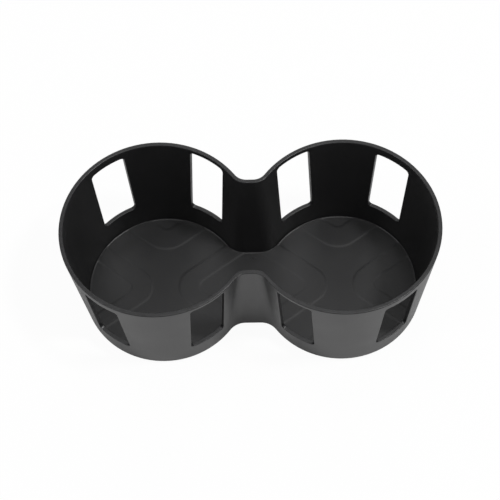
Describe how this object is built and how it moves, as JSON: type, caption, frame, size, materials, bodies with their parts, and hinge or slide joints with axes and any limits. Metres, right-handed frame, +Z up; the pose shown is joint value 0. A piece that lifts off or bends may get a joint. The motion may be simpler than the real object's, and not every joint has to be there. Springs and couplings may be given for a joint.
{
  "type": "car cup holder insert",
  "caption": "Black moulded cup holder insert for a car console: tapered cups side by side, joined by an open neck, with windows in the walls and raised chevrons on the floors.",
  "frame": {"origin": "middle of the underside, half way between the two cups", "axes": "+Z up out of the cups, +X along the line through both cups, +Y to the back"},
  "size_m": [0.1798, 0.092, 0.068],
  "materials": {
    "moulding": "satin black, fine moulded grain"
  },
  "bodies": {
    "root": {"cup_holder_insert": "moulding"}
  },
  "joints": []
}
